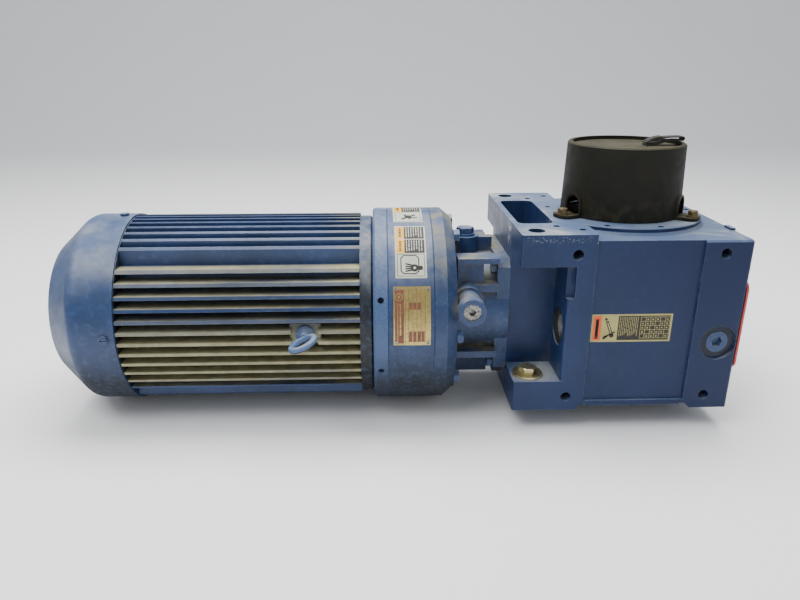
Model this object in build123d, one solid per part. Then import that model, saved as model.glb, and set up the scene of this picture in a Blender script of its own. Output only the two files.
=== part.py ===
from build123d import *
from math import acos, atan2, cos, hypot, pi, radians, sin, sqrt, tan
import os

# Right-angle gearmotor: finned motor, cycloidal stage, ribbed neck, bevel stage in a square box.
# Millimetres. Origin at the centre of the hollow output shaft's lower end; +Z up along the output
# shaft, -X towards the motor's fan. The motor axis runs along X at height AXIS_Z.

# ---------------------------------------------------------------- driving dimensions
AXIS_Z = 118.0                 # height of the motor axis above the housing's lower machined face

BOX_LEFT, BOX_RIGHT = -112.0, 140.0      # main box of the gear housing
BOX_HALF_Y = 148.0
CAST_TOP = 254.5               # cast top of the box
FACE_TOP = 264.0               # machined top face: ears, left pads, output ring
EAR_END = -180.0               # left end of the ears and of the housing's input nose
WALL = 12.0
NOSE_HALF_Y = 80.0             # half width of the input nose between the ears
NOSE_TOP = 222.0
EAR_LOW = 46.0                 # top of the lower ears
EAR_HIGH = 219.0               # underside of the upper ears
EAR_HOLE = (-155.0, 122.0)     # x and +-y of the ear holes
EAR_HOLE_R, LOWER_EAR_HOLE_R = 11.75, 11.0
PANEL = (-76.0, 72.0)          # recessed panel between the machined side pads
PANEL_DEPTH = 3.5
SIDE_HOLE_X = 102.0            # tapped holes of the side faces: +-x and z
SIDE_HOLE_Z = (21.0, 236.0)
SIDE_HOLE_R = {-1: 7.5, 1: 7.0}          # front (-Y) and back
SIDE_HOLE_DEPTH = 27.0
RING_R = 118.7                 # output ring on the top face
RING_HOLE_CIRCLE_R, RING_HOLE_R, RING_HOLES = 108.0, 4.25, 9
RING_HOLE_START = 163.0        # degrees

MOTOR_R = 142.0                # envelope of the fins
FRAME = (-740.0, -400.0)       # finned frame along x
CORE_HALF = 92.0               # half width of the frame's squared core
STATOR_R = 88.0
AIR_GAP_R = 60.0
STACK = (-690.0, -470.0)       # laminations along x
FIN_THICK = 4.6
COWL_R = 144.0
COWL_END = -852.0
COWL_SCREW_X = -756.0
FLANGE_R = 150.0               # adapter, ring-gear case and neck flange
ADAPTER = (-381.0, -360.0)
RING_CASE = (-360.0, -295.0)
NECK = (-295.0, -180.0)
SEAM = 1.0                     # chamfer on both sides of a flange joint

LOBES = 11                     # cycloid disc lobes; the case holds one pin more
PIN_CIRCLE_R, PIN_R = 105.0, 8.0
THROW = 5.0                    # eccentricity
DISCS = ((-350.0, -330.0), (-325.0, -305.0))
CARRIER_R, CARRIER_PIN_R, CARRIER_PINS = 65.0, 9.0, 8
CAM_R, CAM_ROLLER_R, CAM_ROLLERS = 30.0, 5.0, 14
MESH_GAP = 0.15                # running gap between disc and pins

MODULE = 5.5                   # bevel pair
PINION_TEETH, GEAR_TEETH = 16, 40
FACE_WIDTH = 30.0
PRESSURE = radians(20.0)
FLANK_GAP = 0.25               # taken off each flank at the large end

RUN = 0.05                     # radial running clearance
TAP_M4, TAP_M5, TAP_M8, TAP_M10 = 2.05, 2.55, 4.05, 5.05      # radii of screw holes
SHAFT_BORE_R = 40.0            # hollow output shaft
SHAFT_TOP = 345.0
COVER_R, COVER_TOP_R, COVER_TOP = 88.8, 85.3, 369.0
TAB_ANGLES = (-157.0, -37.0, 83.0)

MOTOR_BEARING = dict(bore=22.5, outer=50.0, width=25.0, ball=8.5, count=8)
NECK_BEARING = dict(bore=32.5, outer=60.0, width=23.0, ball=8.35, count=9)
OUTPUT_BEARING = dict(bore=55.0, outer=85.0, width=28.0, ball=9.0, count=12)
MOTOR_BEARING_AT = (-749.5, -399.5)      # middles, along x
NECK_BEARING_AT = (-250.5, -143.5)
OUTPUT_BEARING_AT = (38.0, 220.0)        # middles, along z

MOTOR_LINE = (0.0, AXIS_Z)     # y, z of the motor axis


# ---------------------------------------------------------------- building blocks
def block(x0, x1, y0, y1, z0, z1):
    """Box between limits."""
    return Pos((x0 + x1) / 2, (y0 + y1) / 2, (z0 + z1) / 2) * Box(x1 - x0, y1 - y0, z1 - z0)


def rod(axis, radius, start, end, at=(0.0, 0.0)):
    """Cylinder along X, Y or Z from start to end; `at` is its place on the other two axes."""
    solid = Cylinder(radius, end - start, align=(Align.CENTER, Align.CENTER, Align.MIN))
    if axis == "X":
        return Pos(start, at[0], at[1]) * Rot(0, 90, 0) * solid
    if axis == "Y":
        return Pos(at[0], start, at[1]) * Rot(-90, 0, 0) * solid
    return Pos(at[0], at[1], start) * solid


def tube(axis, outer, inner, start, end, at=(0.0, 0.0)):
    return rod(axis, outer, start, end, at) - rod(axis, inner, start - 1, end + 1, at)


def turned(axis, *outline, at=None):
    """Turned piece: outline lists (distance along the axis, radius) round half its section."""
    solid = revolve(make_face(Polyline(*outline, close=True)), Axis.X)
    if axis == "Z":
        return Pos(*(at or (0, 0)), 0) * Rot(0, -90, 0) * solid
    return Pos(0, *(at or MOTOR_LINE)) * solid


def polar(radius, angle, centre=(0.0, 0.0)):
    """Point on a circle; the angle is in degrees."""
    return (centre[0] + radius * cos(radians(angle)), centre[1] + radius * sin(radians(angle)))


def hex_head(axis, across_flats, start, end, at, bevel=1.0):
    """Hexagon bolt head with chamfered corners."""
    prism = extrude(RegularPolygon(across_flats / 2, 6, major_radius=False), end - start)
    prism &= chamfer(Cylinder(across_flats / sqrt(3), end - start,
                              align=(Align.CENTER, Align.CENTER, Align.MIN)).edges(), bevel)
    if axis == "X":
        return Pos(start, at[0], at[1]) * Rot(0, 90, 0) * prism
    if axis == "Y":
        return Pos(at[0], start, at[1]) * Rot(-90, 0, 0) * prism
    return Pos(at[0], at[1], start) * prism


def along_x(sketch, start, end):
    """Extrude a sketch drawn in (y, z) about the motor axis from x = start to x = end."""
    plane = Plane(origin=(start, 0, AXIS_Z), x_dir=(0, 1, 0), z_dir=(1, 0, 0))
    return extrude(plane * sketch, end - start)


def save(name, *solids):
    """Write one node; loose pieces of one node stay separate solids."""
    pieces = []
    for item in solids:
        pieces += list(item.solids())
    shape = pieces[0] if len(pieces) == 1 else Compound(children=pieces)
    export_step(shape, f"parts/{name}.step")


# ---------------------------------------------------------------- rolling bearings
def bearing(axis, middle, at, bore, outer, width, ball, count):
    """Deep-groove ball bearing: (inner ring, outer ring, balls and cage)."""
    pitch = (bore + outer) / 2
    land = 0.45 * ball
    lo, hi = middle - width / 2, middle + width / 2
    groove = place(axis, middle, at) * Torus(pitch, ball + RUN)
    inner = tube(axis, pitch - land, bore, lo, hi, at) - groove
    outer_ring = tube(axis, outer, pitch + land, lo, hi, at) - groove
    cage_wall, cage_half = 0.25 * ball, 1.22 * ball
    cage = tube(axis, pitch + cage_wall, pitch - cage_wall, middle - cage_half, middle + cage_half, at)
    balls = []
    for i in range(count):
        station = place(axis, middle, at) * Rot(0, 0, 360 / count * i + 7) * Pos(pitch, 0, 0)
        cage -= station * Rot(0, 90, 0) * Cylinder(ball + RUN, ball)
        balls.append(station * Sphere(ball))
    return inner, outer_ring, [cage] + balls


def place(axis, middle, at):
    """Location of a round piece's middle plane, with its own Z along the given axis."""
    if axis == "X":
        return Pos(middle, at[0], at[1]) * Rot(0, 90, 0)
    return Pos(at[0], at[1], middle)


def bearing_pair(name, axis, middles, at, sizes):
    """Store two equal bearings' inner rings and balls; return their outer rings."""
    made = [bearing(axis, middle, at, **sizes) for middle in middles]
    save(f"{name}_inner_rings", *[m[0] for m in made])
    save(f"{name}_balls", *[piece for m in made for piece in m[2]])
    return [m[1] for m in made]


# ---------------------------------------------------------------- motor
EYE_X, EYE_SEAT = -478.0, -128.0          # x of the lifting eye, y of its boss
BOX_X = (-572.0, -452.0)       # terminal box along x
BOX_Y = (118.0, 172.0)         # terminal box, from the pad outwards
BOX_Z = (68.0, 168.0)
TIE_BOLT_AT = 77.8             # end-shield bolts at +-y, +-z from the motor axis
SHIELD_FAN = (-741.0, -729.0)
SHIELD_DRIVE = (-400.0, -381.0)


def motor_frame():
    fins = Rectangle(2 * MOTOR_R, FIN_THICK)
    side_fins = Sketch() + [Pos(0, -91 + 16.3 * i) * fins for i in range(12)]
    top_fins = Sketch() + [Pos(-84 + 14 * i, 0) * Rot(0, 0, 90) * fins for i in range(13)]
    section = RectangleRounded(2 * CORE_HALF, 2 * CORE_HALF, 20) + side_fins + top_fins
    section = section & Circle(MOTOR_R)
    frame = along_x(section - Circle(STATOR_R), *FRAME)
    # lifting-eye boss between the fins, and the terminal box's pad on the far side
    frame -= block(EYE_X - 19, EYE_X + 19, -MOTOR_R - 1, -118, AXIS_Z - 17, AXIS_Z + 17)
    frame += block(EYE_X - 22, EYE_X + 22, EYE_SEAT, -CORE_HALF + 2, AXIS_Z - 15, AXIS_Z + 15)
    frame -= rod("Y", TAP_M10, EYE_SEAT - 1, EYE_SEAT + 24, (EYE_X, AXIS_Z))
    frame -= block(BOX_X[0] - 3, BOX_X[1] + 3, BOX_Y[0] - 4, MOTOR_R + 1, BOX_Z[0] - 3, BOX_Z[1] + 3)
    frame += block(*BOX_X, CORE_HALF - 2, BOX_Y[0], *BOX_Z)
    frame -= rod("Y", 16, STATOR_R - 20, BOX_Y[0] + 1, (-512, 140))
    for y in (-TIE_BOLT_AT, TIE_BOLT_AT):
        for z in (-TIE_BOLT_AT, TIE_BOLT_AT):
            for start, end in ((FRAME[0] - 1, FRAME[0] + 30), (FRAME[1] - 40, FRAME[1] + 1)):
                frame -= rod("X", TAP_M8, start, end, (y, AXIS_Z + z))
    return frame


SLOTS = 24


def stator():
    """Laminated core and the winding that fills its slots."""
    slot = Pos(AIR_GAP_R + 11, 0) * RectangleRounded(16, 7, 2)
    slots = PolarLocations(0, SLOTS) * slot
    core = along_x(Circle(STATOR_R) - Circle(AIR_GAP_R) - slots, *STACK)
    winding = along_x(Sketch() + slots, STACK[0] - 4, STACK[1] + 4)
    for lo, hi in ((STACK[0] - 34, STACK[0] - 3), (STACK[1] + 3, STACK[1] + 34)):
        ends = tube("X", 81, 63, lo, hi, MOTOR_LINE)
        winding += fillet(ends.edges(), 6)
    return core, winding


def rotor_cage():
    """Two cast end rings, each with stirring blades."""
    rings = []
    for lo, hi, tip in ((STACK[0] - 14, STACK[0], STACK[0] - 30), (STACK[1], STACK[1] + 14, STACK[1] + 30)):
        ring = tube("X", 57, 36, lo, hi, MOTOR_LINE)
        for i in range(8):
            blade = block(min(tip, lo), max(tip, hi), 42, 55, -2, 2)
            ring += Pos(0, 0, AXIS_Z) * Rot(45 * i, 0, 0) * blade
        rings.append(ring)
    return rings


def fan_end_shield():
    seat = MOTOR_BEARING["outer"]
    lo, hi = SHIELD_FAN
    shield = turned("X", (-766, 26), (-766, 62), (lo, 66), (lo, 137), (lo - 25, 137), (lo - 25, 141.3),
                    (FRAME[0], 141.3), (FRAME[0], STATOR_R), (hi, STATOR_R), (hi, 58), (-737, 58),
                    (-737, seat), (-762, seat), (-762, 26))
    for angle in range(0, 360, 90):
        shield -= Pos(0, 0, AXIS_Z) * Rot(angle, 0, 0) * rod("Y", TAP_M5, 130, 145, (COWL_SCREW_X, 0))
    for y in (-TIE_BOLT_AT, TIE_BOLT_AT):
        for z in (-TIE_BOLT_AT, TIE_BOLT_AT):
            shield -= rod("X", 4.4, -770, -720, (y, AXIS_Z + z))
    return shield


def drive_end_shield():
    seat = MOTOR_BEARING["outer"]
    lo, hi = SHIELD_DRIVE
    shield = turned("X", (-416, 26), (-416, 62), (-412, 62), (-412, STATOR_R), (lo, STATOR_R), (lo, 138),
                    (hi - 3, 138), (hi, 135), (hi, seat), (-412, seat), (-412, 26))
    for y in (-TIE_BOLT_AT, TIE_BOLT_AT):
        for z in (-TIE_BOLT_AT, TIE_BOLT_AT):
            shield -= rod("X", 4.4, lo - 13, hi + 1, (y, AXIS_Z + z))
            shield -= rod("X", 7.4, hi - 9, hi + 1, (y, AXIS_Z + z))
    for i in range(6):
        shield -= rod("X", TAP_M10, hi - 16, hi + 1, polar(ADAPTER_BOLT_R, 60 * i, MOTOR_LINE))
    return shield


ADAPTER_BOLT_R = 98.0


def cowl_solid(inset):
    """Solid bounded by the fan cover's outside, or set in from it by the skin."""
    shoulder, rim = COWL_END + 49, COWL_END + 6
    solid = turned("X", (SHIELD_FAN[0] + inset, 0), (SHIELD_FAN[0] + inset, COWL_R - inset),
                   (shoulder + 0.4 * inset, COWL_R - inset), (rim + 0.8 * inset, 104 - 0.5 * inset),
                   (COWL_END + inset, 84), (COWL_END + inset, 0))
    rings = solid.edges().filter_by(GeomType.CIRCLE).group_by(Axis.X)
    solid = fillet(rings[2], 18 - inset)
    rings = solid.edges().filter_by(GeomType.CIRCLE).group_by(Axis.X)
    return fillet(rings[0], 14 - inset)


def fan_cover():
    skin = 2.5
    cowl = cowl_solid(0) - cowl_solid(skin)
    slots = Sketch()
    for radius in range(20, 81, 12):
        slots += Circle(radius + 3.5) - Circle(radius - 3.5)
    slots -= PolarLocations(0, 8) * (Pos(50, 0) * Rectangle(100, 7))
    cowl -= along_x(slots, COWL_END - 5, COWL_END + 8)
    for angle in range(0, 360, 90):
        cowl -= Pos(0, 0, AXIS_Z) * Rot(angle, 0, 0) * rod("Y", 3, 135, 150, (COWL_SCREW_X, 0))
    return cowl


def cowl_screws():
    at = (COWL_SCREW_X, 0)
    head = rod("Y", 2.5, COWL_R - 13, COWL_R, at) + rod("Y", 6.5, COWL_R + 0.1, COWL_R + 3.5, at)
    head -= block(COWL_SCREW_X - 6, COWL_SCREW_X + 6, COWL_R + 2, COWL_R + 4, -0.8, 0.8)
    return [Pos(0, 0, AXIS_Z) * Rot(angle, 0, 0) * head for angle in range(0, 360, 90)]


def cooling_fan():
    fan = turned("X", (-824, 16), (-824, 27), (-790, 32), (-786, 112), (-783, 112), (-783, 16))
    for i in range(7):
        blade = block(-824, -784, 24, 124, -1.6, 1.6) - block(-830, -812, 100, 130, -5, 5)
        fan += Pos(0, 0, AXIS_Z) * Rot(360 / 7 * i, 0, 0) * blade
    return fan


def motor_shaft():
    bore = MOTOR_BEARING["bore"]
    shoulder, core = 25.5, 25.0
    shaft = turned("X", (-832, 0), (-832, 15), (-831, 16), (-775, 16), (-775, bore), (-736, bore),
                   (-736, shoulder), (STACK[0], shoulder), (STACK[0], core), (STACK[1], core),
                   (STACK[1], shoulder), (-413, shoulder), (-413, bore), (-366, bore), (-366, 20), (-301, 20),
                   (-300, 19), (-300, 0))
    return shaft - block(-351, -303, 14, 21, AXIS_Z - 6, AXIS_Z + 6)


def eye_bolt():
    ring = Pos(EYE_X, -165, AXIS_Z) * Rot(0, -24, 0) * Torus(17.5, 4.5)
    reach = -EYE_SEAT
    collar = turned("X", (reach, 0), (reach, 13), (reach + 5, 13), (reach + 9, 8), (reach + 18, 6),
                    (reach + 18, 0), at=(0, 0))
    collar = Pos(EYE_X, 0, AXIS_Z) * Rot(0, 0, -90) * collar
    return ring + collar + rod("Y", 5, EYE_SEAT - 1, EYE_SEAT + 22, (EYE_X, AXIS_Z))


def terminal_box():
    x0, x1 = BOX_X
    y0, y1 = BOX_Y
    z0, z1 = BOX_Z
    shell = block(x0, x1, y0, y1 - 6, z0, z1) - block(x0 + 4, x1 - 4, y0 + 4, y1, z0 + 4, z1 - 4)
    shell -= rod("Y", 16, y0 - 1, y0 + 5, (-512, 140))
    shell -= rod("Z", 10.1, z0 - 1, z0 + 5, (-540, 147))
    screws = []
    for x in (x0 + 9, x1 - 9):
        for z in (z0 + 9, z1 - 9):
            shell += rod("Y", 6, y0 + 3, y1 - 6, (x, z))
            shell -= rod("Y", TAP_M4, y0 + 8, y1 - 5, (x, z))
            screws.append(rod("Y", 2, y1 - 24, y1 - 0.1, (x, z)) + rod("Y", 4.5, y1, y1 + 3, (x, z)))
    lid = block(x0 - 2, x1 + 2, y1 - 6, y1, z0 - 2, z1 + 2)
    lid = chamfer(lid.faces().sort_by(Axis.Y)[-1].edges(), 2)
    for x in (x0 + 9, x1 - 9):
        for z in (z0 + 9, z1 - 9):
            lid -= rod("Y", 2.3, y1 - 7, y1 + 1, (x, z))
    board = block(-545, -480, y0 + 4, y0 + 14, 86, 116)
    for i in range(3):
        for z in (94, 108):
            board += rod("Y", 3, y0 + 13, y0 + 26, (-532 + 20 * i, z))
    gland = turned("Z", (z0 - 22, 6), (z0 - 22, 11), (z0 - 12, 13), (z0, 13), (z0, 10), (z0 + 10, 10),
                   (z0 + 10, 6), at=(-540, 147))
    return shell, lid, screws, board, gland


def tie_bolts():
    bolts = []
    for y in (-TIE_BOLT_AT, TIE_BOLT_AT):
        for z in (AXIS_Z - TIE_BOLT_AT, AXIS_Z + TIE_BOLT_AT):
            bolts.append(rod("X", 4, -742, -715, (y, z)) + hex_head("X", 13, -747, SHIELD_FAN[0], (y, z)))
            bolts.append(rod("X", 4, -435, -388, (y, z)) + rod("X", 6.5, -390, -382, (y, z)))
    return bolts


def build_motor():
    save("motor_frame", motor_frame())
    core, winding = stator()
    save("stator_core", core)
    save("stator_winding", winding)
    save("rotor_core", tube("X", AIR_GAP_R - 0.8, 25, *STACK, MOTOR_LINE))
    save("rotor_end_rings", *rotor_cage())
    save("motor_shaft", motor_shaft())
    save("fan_end_shield", fan_end_shield())
    save("drive_end_shield", drive_end_shield())
    save("fan_cover", fan_cover())
    save("cooling_fan", cooling_fan())
    save("eye_bolt", eye_bolt())
    shell, lid, screws, board, gland = terminal_box()
    save("terminal_box", shell)
    save("terminal_box_lid", lid)
    save("motor_cover_screws", *cowl_screws(), *screws)
    save("terminal_block", board)
    save("cable_gland", gland)
    save("end_shield_bolts", *tie_bolts(), *adapter_bolts())


# ---------------------------------------------------------------- cycloidal stage
FLANGE_BOLT_R = 131.0
FLANGE_BOLT_ANGLES = (3, -67, -113, -183, 78, 102, 40, 140)     # degrees, from -Y, downwards
ADAPTER_HOLE_ANGLES = (20.7, -21.6)


def flange_points():
    """y, z of the bolts that hold adapter, ring-gear case and neck together."""
    return [polar(FLANGE_BOLT_R, 180 + angle, MOTOR_LINE) for angle in FLANGE_BOLT_ANGLES]


def flange_bolts():
    return [rod("X", 6, ADAPTER[0] + 4, -262, point) + hex_head("X", 18, -262, -253.5, point)
            for point in flange_points()]


def motor_adapter():
    lo, hi = ADAPTER
    adapter = turned("X", (lo - 5, 44), (lo - 5, 49.5), (lo, 49.5), (lo, FLANGE_R - 3), (lo + 3, FLANGE_R),
                     (hi - SEAM, FLANGE_R), (hi, FLANGE_R - SEAM), (hi, 38), (hi - 14, 38), (hi - 14, 26),
                     (lo - 3, 26), (lo - 3, 44))
    for point in flange_points():
        adapter -= rod("X", 6.05, lo + 3, hi + 1, point)
    for i in range(6):
        spot = polar(ADAPTER_BOLT_R, 60 * i, MOTOR_LINE)
        adapter -= rod("X", 5.4, lo - 1, hi, spot) + rod("X", 8.5, hi - 9, hi + 1, spot)
    for angle in ADAPTER_HOLE_ANGLES:
        drill = rod("Y", 4.5, -FLANGE_R - 1, -FLANGE_R + 18, ((lo + hi) / 2, 0))
        adapter -= Pos(0, 0, AXIS_Z) * Rot(-angle, 0, 0) * drill
    return adapter


def adapter_bolts():
    bolts = []
    for i in range(6):
        spot = polar(ADAPTER_BOLT_R, 60 * i, MOTOR_LINE)
        socket = extrude(RegularPolygon(4, 6, major_radius=False), 5)
        screw = rod("X", 5, SHIELD_DRIVE[1] - 15, ADAPTER[1] - 9, spot)
        screw += rod("X", 8, ADAPTER[1] - 9, ADAPTER[1] - 0.5, spot)
        bolts.append(screw - Pos(ADAPTER[1] - 5.5, *spot) * Rot(0, 90, 0) * socket)
    return bolts


def ring_gear_case():
    section = Circle(FLANGE_R) - Circle(PIN_CIRCLE_R + 3)
    section -= PolarLocations(PIN_CIRCLE_R, LOBES + 1) * Circle(PIN_R + 0.02)
    case = along_x(section, *RING_CASE)
    for point in flange_points():
        case -= rod("X", 6.5, RING_CASE[0] - 1, RING_CASE[1] + 1, point)
    rims = case.edges().filter_by(GeomType.CIRCLE).sort_by(SortBy.RADIUS)[-2:]
    return chamfer(rims, SEAM)


def cycloid_point(t, inset):
    """Point of the disc's outline: an epitrochoid, set in by the pin's radius along its normal."""
    pins = LOBES + 1
    x = PIN_CIRCLE_R * cos(t) - THROW * cos(pins * t)
    y = PIN_CIRCLE_R * sin(t) - THROW * sin(pins * t)
    dx = -PIN_CIRCLE_R * sin(t) + THROW * pins * sin(pins * t)
    dy = PIN_CIRCLE_R * cos(t) - THROW * pins * cos(pins * t)
    norm = hypot(dx, dy)
    return (x - inset * dy / norm, y + inset * dx / norm)


def cycloid_disc(span, side):
    """Disc whose centre lies THROW to +Y (side 1) or -Y (side -1) of the motor axis."""
    samples = 18 * LOBES
    points = [cycloid_point(2 * pi * i / samples, PIN_R + MESH_GAP) for i in range(samples)]
    outline = make_face(Spline(*points, periodic=True))
    if side < 0:
        outline = Rot(0, 0, 180) * outline
    holes = PolarLocations(CARRIER_R, CARRIER_PINS) * Circle(CARRIER_PIN_R + THROW + MESH_GAP)
    disc = outline - Circle(CAM_R + 2 * CAM_ROLLER_R + RUN) - holes
    return along_x(Pos(side * THROW, 0) * disc, *span)


def cam_rollers(span, side):
    """Rollers and their cage, between the cam and the disc."""
    centre = (side * THROW, AXIS_Z)
    pitch = CAM_R + CAM_ROLLER_R
    lo, hi = span
    cage = tube("X", pitch + 1.8, pitch - 1.8, lo, hi, centre)
    rollers = []
    for i in range(CAM_ROLLERS):
        spot = polar(pitch, 360 / CAM_ROLLERS * i, centre)
        cage -= rod("X", CAM_ROLLER_R + 0.1, lo + 1.5, hi - 1.5, spot)
        rollers.append(rod("X", CAM_ROLLER_R - 0.02, lo + 1.6, hi - 1.6, spot))
    return [cage] + rollers


def eccentric_cam():
    body = rod("X", CAM_R, DISCS[0][0] - 1, DISCS[0][1] + 2.5, (THROW, AXIS_Z))
    body += rod("X", CAM_R, DISCS[1][0] - 2.5, DISCS[1][1] + 1, (-THROW, AXIS_Z))
    body -= rod("X", 20, -356, -300, MOTOR_LINE)
    return body + block(-350.5, -303.5, 14, 21, AXIS_Z - 6, AXIS_Z + 6)


CARRIER = (-301.0, -284.0)


def slow_shaft():
    """Carrier flange and shaft in one forging; it ends in the pinion's seat and thread."""
    bore = NECK_BEARING["bore"]
    shaft = turned("X", (CARRIER[0], 0), (CARRIER[0], 82), (CARRIER[1], 82), (CARRIER[1], 44), (-281, 36),
                   (-264, 36), (-264, bore), (-127, bore), (-127, 18), (-80, 18), (-80, 13), (-66, 13),
                   (-65, 12), (-65, 0))
    shaft -= rod("X", 24, CARRIER[0] - 1, CARRIER[0] + 6, MOTOR_LINE)
    shaft -= block(-121, -88, -4, 4, AXIS_Z + 14, AXIS_Z + 21)
    for i in range(CARRIER_PINS):
        shaft -= rod("X", CARRIER_PIN_R, CARRIER[0] - 1, CARRIER[1] + 1, carrier_spot(i))
    return shaft


def carrier_spot(i):
    return polar(CARRIER_R, 360 / CARRIER_PINS * i, MOTOR_LINE)


PLATE = dict(x=(-353.0, -301.0), angles=(-4.0, 28.0), thick=0.8)


def nameplate():
    """Curved blank plate on the ring-gear case, and its four rivets."""
    x0, x1 = PLATE["x"]
    low, high = (180 - angle for angle in PLATE["angles"])
    reach = 1.3 * FLANGE_R
    sector = Polygon((0, 0), polar(reach, low), polar(reach, high), align=None)
    skin = Circle(FLANGE_R + PLATE["thick"]) - Circle(FLANGE_R)
    plate = along_x(skin & sector, x0, x1)
    rivets = []
    for x in (x0 + 4, x1 - 4):
        for angle in (low - 2.0, high + 2.0):
            rivet = rod("Y", 1.5, -FLANGE_R - 1.6, -FLANGE_R, (x, 0))
            rivets.append(Pos(0, 0, AXIS_Z) * Rot(angle - 180, 0, 0) * rivet)
    return [plate - rivets] + rivets


def build_cycloid_stage():
    save("motor_adapter", motor_adapter())
    save("ring_gear_case", ring_gear_case())
    pins = [rod("X", PIN_R, RING_CASE[0] + 1, RING_CASE[1] - 1, polar(PIN_CIRCLE_R, 30 * i, MOTOR_LINE))
            for i in range(LOBES + 1)]
    save("ring_pins", *pins)
    save("cycloid_disc_1", cycloid_disc(DISCS[0], 1))
    save("cycloid_disc_2", cycloid_disc(DISCS[1], -1))
    save("cam_rollers_1", *cam_rollers(DISCS[0], 1))
    save("cam_rollers_2", *cam_rollers(DISCS[1], -1))
    save("eccentric_cam", eccentric_cam())
    save("slow_shaft", slow_shaft())
    drive_pins = [rod("X", CARRIER_PIN_R, -352, CARRIER[1], carrier_spot(i)) for i in range(CARRIER_PINS)]
    save("carrier_pins", *drive_pins)
    save("bearing_spacer", tube("X", 40, NECK_BEARING["bore"], -239, -155, MOTOR_LINE))
    save("nameplate", *nameplate())


# ---------------------------------------------------------------- input neck
NOSE_FLANGE = -198.0           # left face of the neck's square end flange
NECK_BOLT = (64.0, 76.0)       # +-y and +-z of its bolts from the motor axis
FILLER = (-243.0, 154.0)       # x, z of the filler tube
NECK_PLUG_X = -238.0


def neck_bolt_spots():
    return [(y, AXIS_Z + z) for y in (-NECK_BOLT[0], NECK_BOLT[0]) for z in (-NECK_BOLT[1], NECK_BOLT[1])]


def input_neck():
    lo, hi = NECK
    neck = turned("X", (lo, 0), (lo, FLANGE_R - SEAM), (lo + SEAM, FLANGE_R), (-277, FLANGE_R), (-262, 137),
                  (-262, 92), (-256, 86), (hi, 86), (hi, 0))
    end = Rectangle(160, 184)
    neck += along_x(chamfer(end.vertices(), 12), NOSE_FLANGE, hi)
    # webs along the neck: top, bottom, and two across
    web_end = NOSE_FLANGE + 1
    neck += block(-270, web_end, -8, 8, AXIS_Z - 119, AXIS_Z + 108)
    for z in (169.0, 64.0):
        neck += block(-270, web_end, -90, 90, z - 5, z + 5)
    # box-shaped pocket walls above the upper web, front and back
    for side in (-1, 1):
        near, far = sorted((side * 56, side * 88))
        neck += block(-258, -250, near, far, 170, 214)
        neck += block(-258, web_end, near, far, 206, 214)
        neck += block(-258, -219, *sorted((side * 56, side * 80)), 170, 210)
    neck += rod("Z", 21, 190, 228, (NECK_PLUG_X, 0))
    neck += rod("Y", 22, -104, -60, FILLER)
    neck -= rod("Y", 12.5, -110, -50, FILLER)
    neck -= rod("Z", 9.05, 170, 230, (NECK_PLUG_X, 0))
    # inside: carrier recess, seal wall, bearing bore
    neck -= turned("X", (lo - 1, 0), (lo - 1, 90), (-280, 90), (-280, 52), (-266, 52), (-266, 40), (-262, 40),
                   (-262, NECK_BEARING["outer"]), (hi + 1, NECK_BEARING["outer"]), (hi + 1, 0))
    for point in flange_points():
        neck -= rod("X", 6.5, lo - 1, -255, point)
        neck -= rod("X", 12, -262, -240, point)
    for spot in neck_bolt_spots():
        neck -= rod("X", 5.5, NOSE_FLANGE - 1, hi + 1, spot)
        neck -= rod("X", 12, -218, NOSE_FLANGE, spot)
    return neck


def build_neck():
    save("input_neck", input_neck())
    pipe = turned("X", (-150, 12.5), (-150, 19.5), (-142, 20), (-134, 20), (-132, 18), (-104, 18),
                  (-104, 12.4), (-92, 12.4), (-92, 9), (-140, 9), (-140, 12.5), at=(0, 0))
    pipe = Pos(FILLER[0], 0, FILLER[1]) * Rot(0, 0, 90) * pipe
    save("filler_tube", pipe)
    plug = rod("Y", 12.4, -147, -140, FILLER) + rod("Y", 8.9, -140, -130, FILLER)
    socket = extrude(RegularPolygon(5, 6, major_radius=False), 6)
    save("filler_plug", plug - Pos(FILLER[0], -141, FILLER[1]) * Rot(90, 0, 0) * socket)
    top = hex_head("Z", 24, 231, 240, (NECK_PLUG_X, 0)) + rod("Z", 15.5, 228, 231, (NECK_PLUG_X, 0))
    return top + rod("Z", 9, 196, 229, (NECK_PLUG_X, 0))


# ---------------------------------------------------------------- gear housing
SIGHT = (-110.0, 118.0)        # y, z of the sight glass on the wall beside the neck
SIGHT_R, GLASS_R = 28.0, 23.0
OIL_PLUG = (111.0, 103.5)      # x, z of the oil plug on each side face
BOTTOM_OPENING_R, BOTTOM_COVER_R = 114.0, 130.0
LEDGE_Z = 22.0
BOTTOM_BOLT_R, BOTTOM_BOLTS = 121.0, 8


def side_hole_spots():
    return [(x, z) for x in (-SIDE_HOLE_X, SIDE_HOLE_X) for z in SIDE_HOLE_Z]


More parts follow.
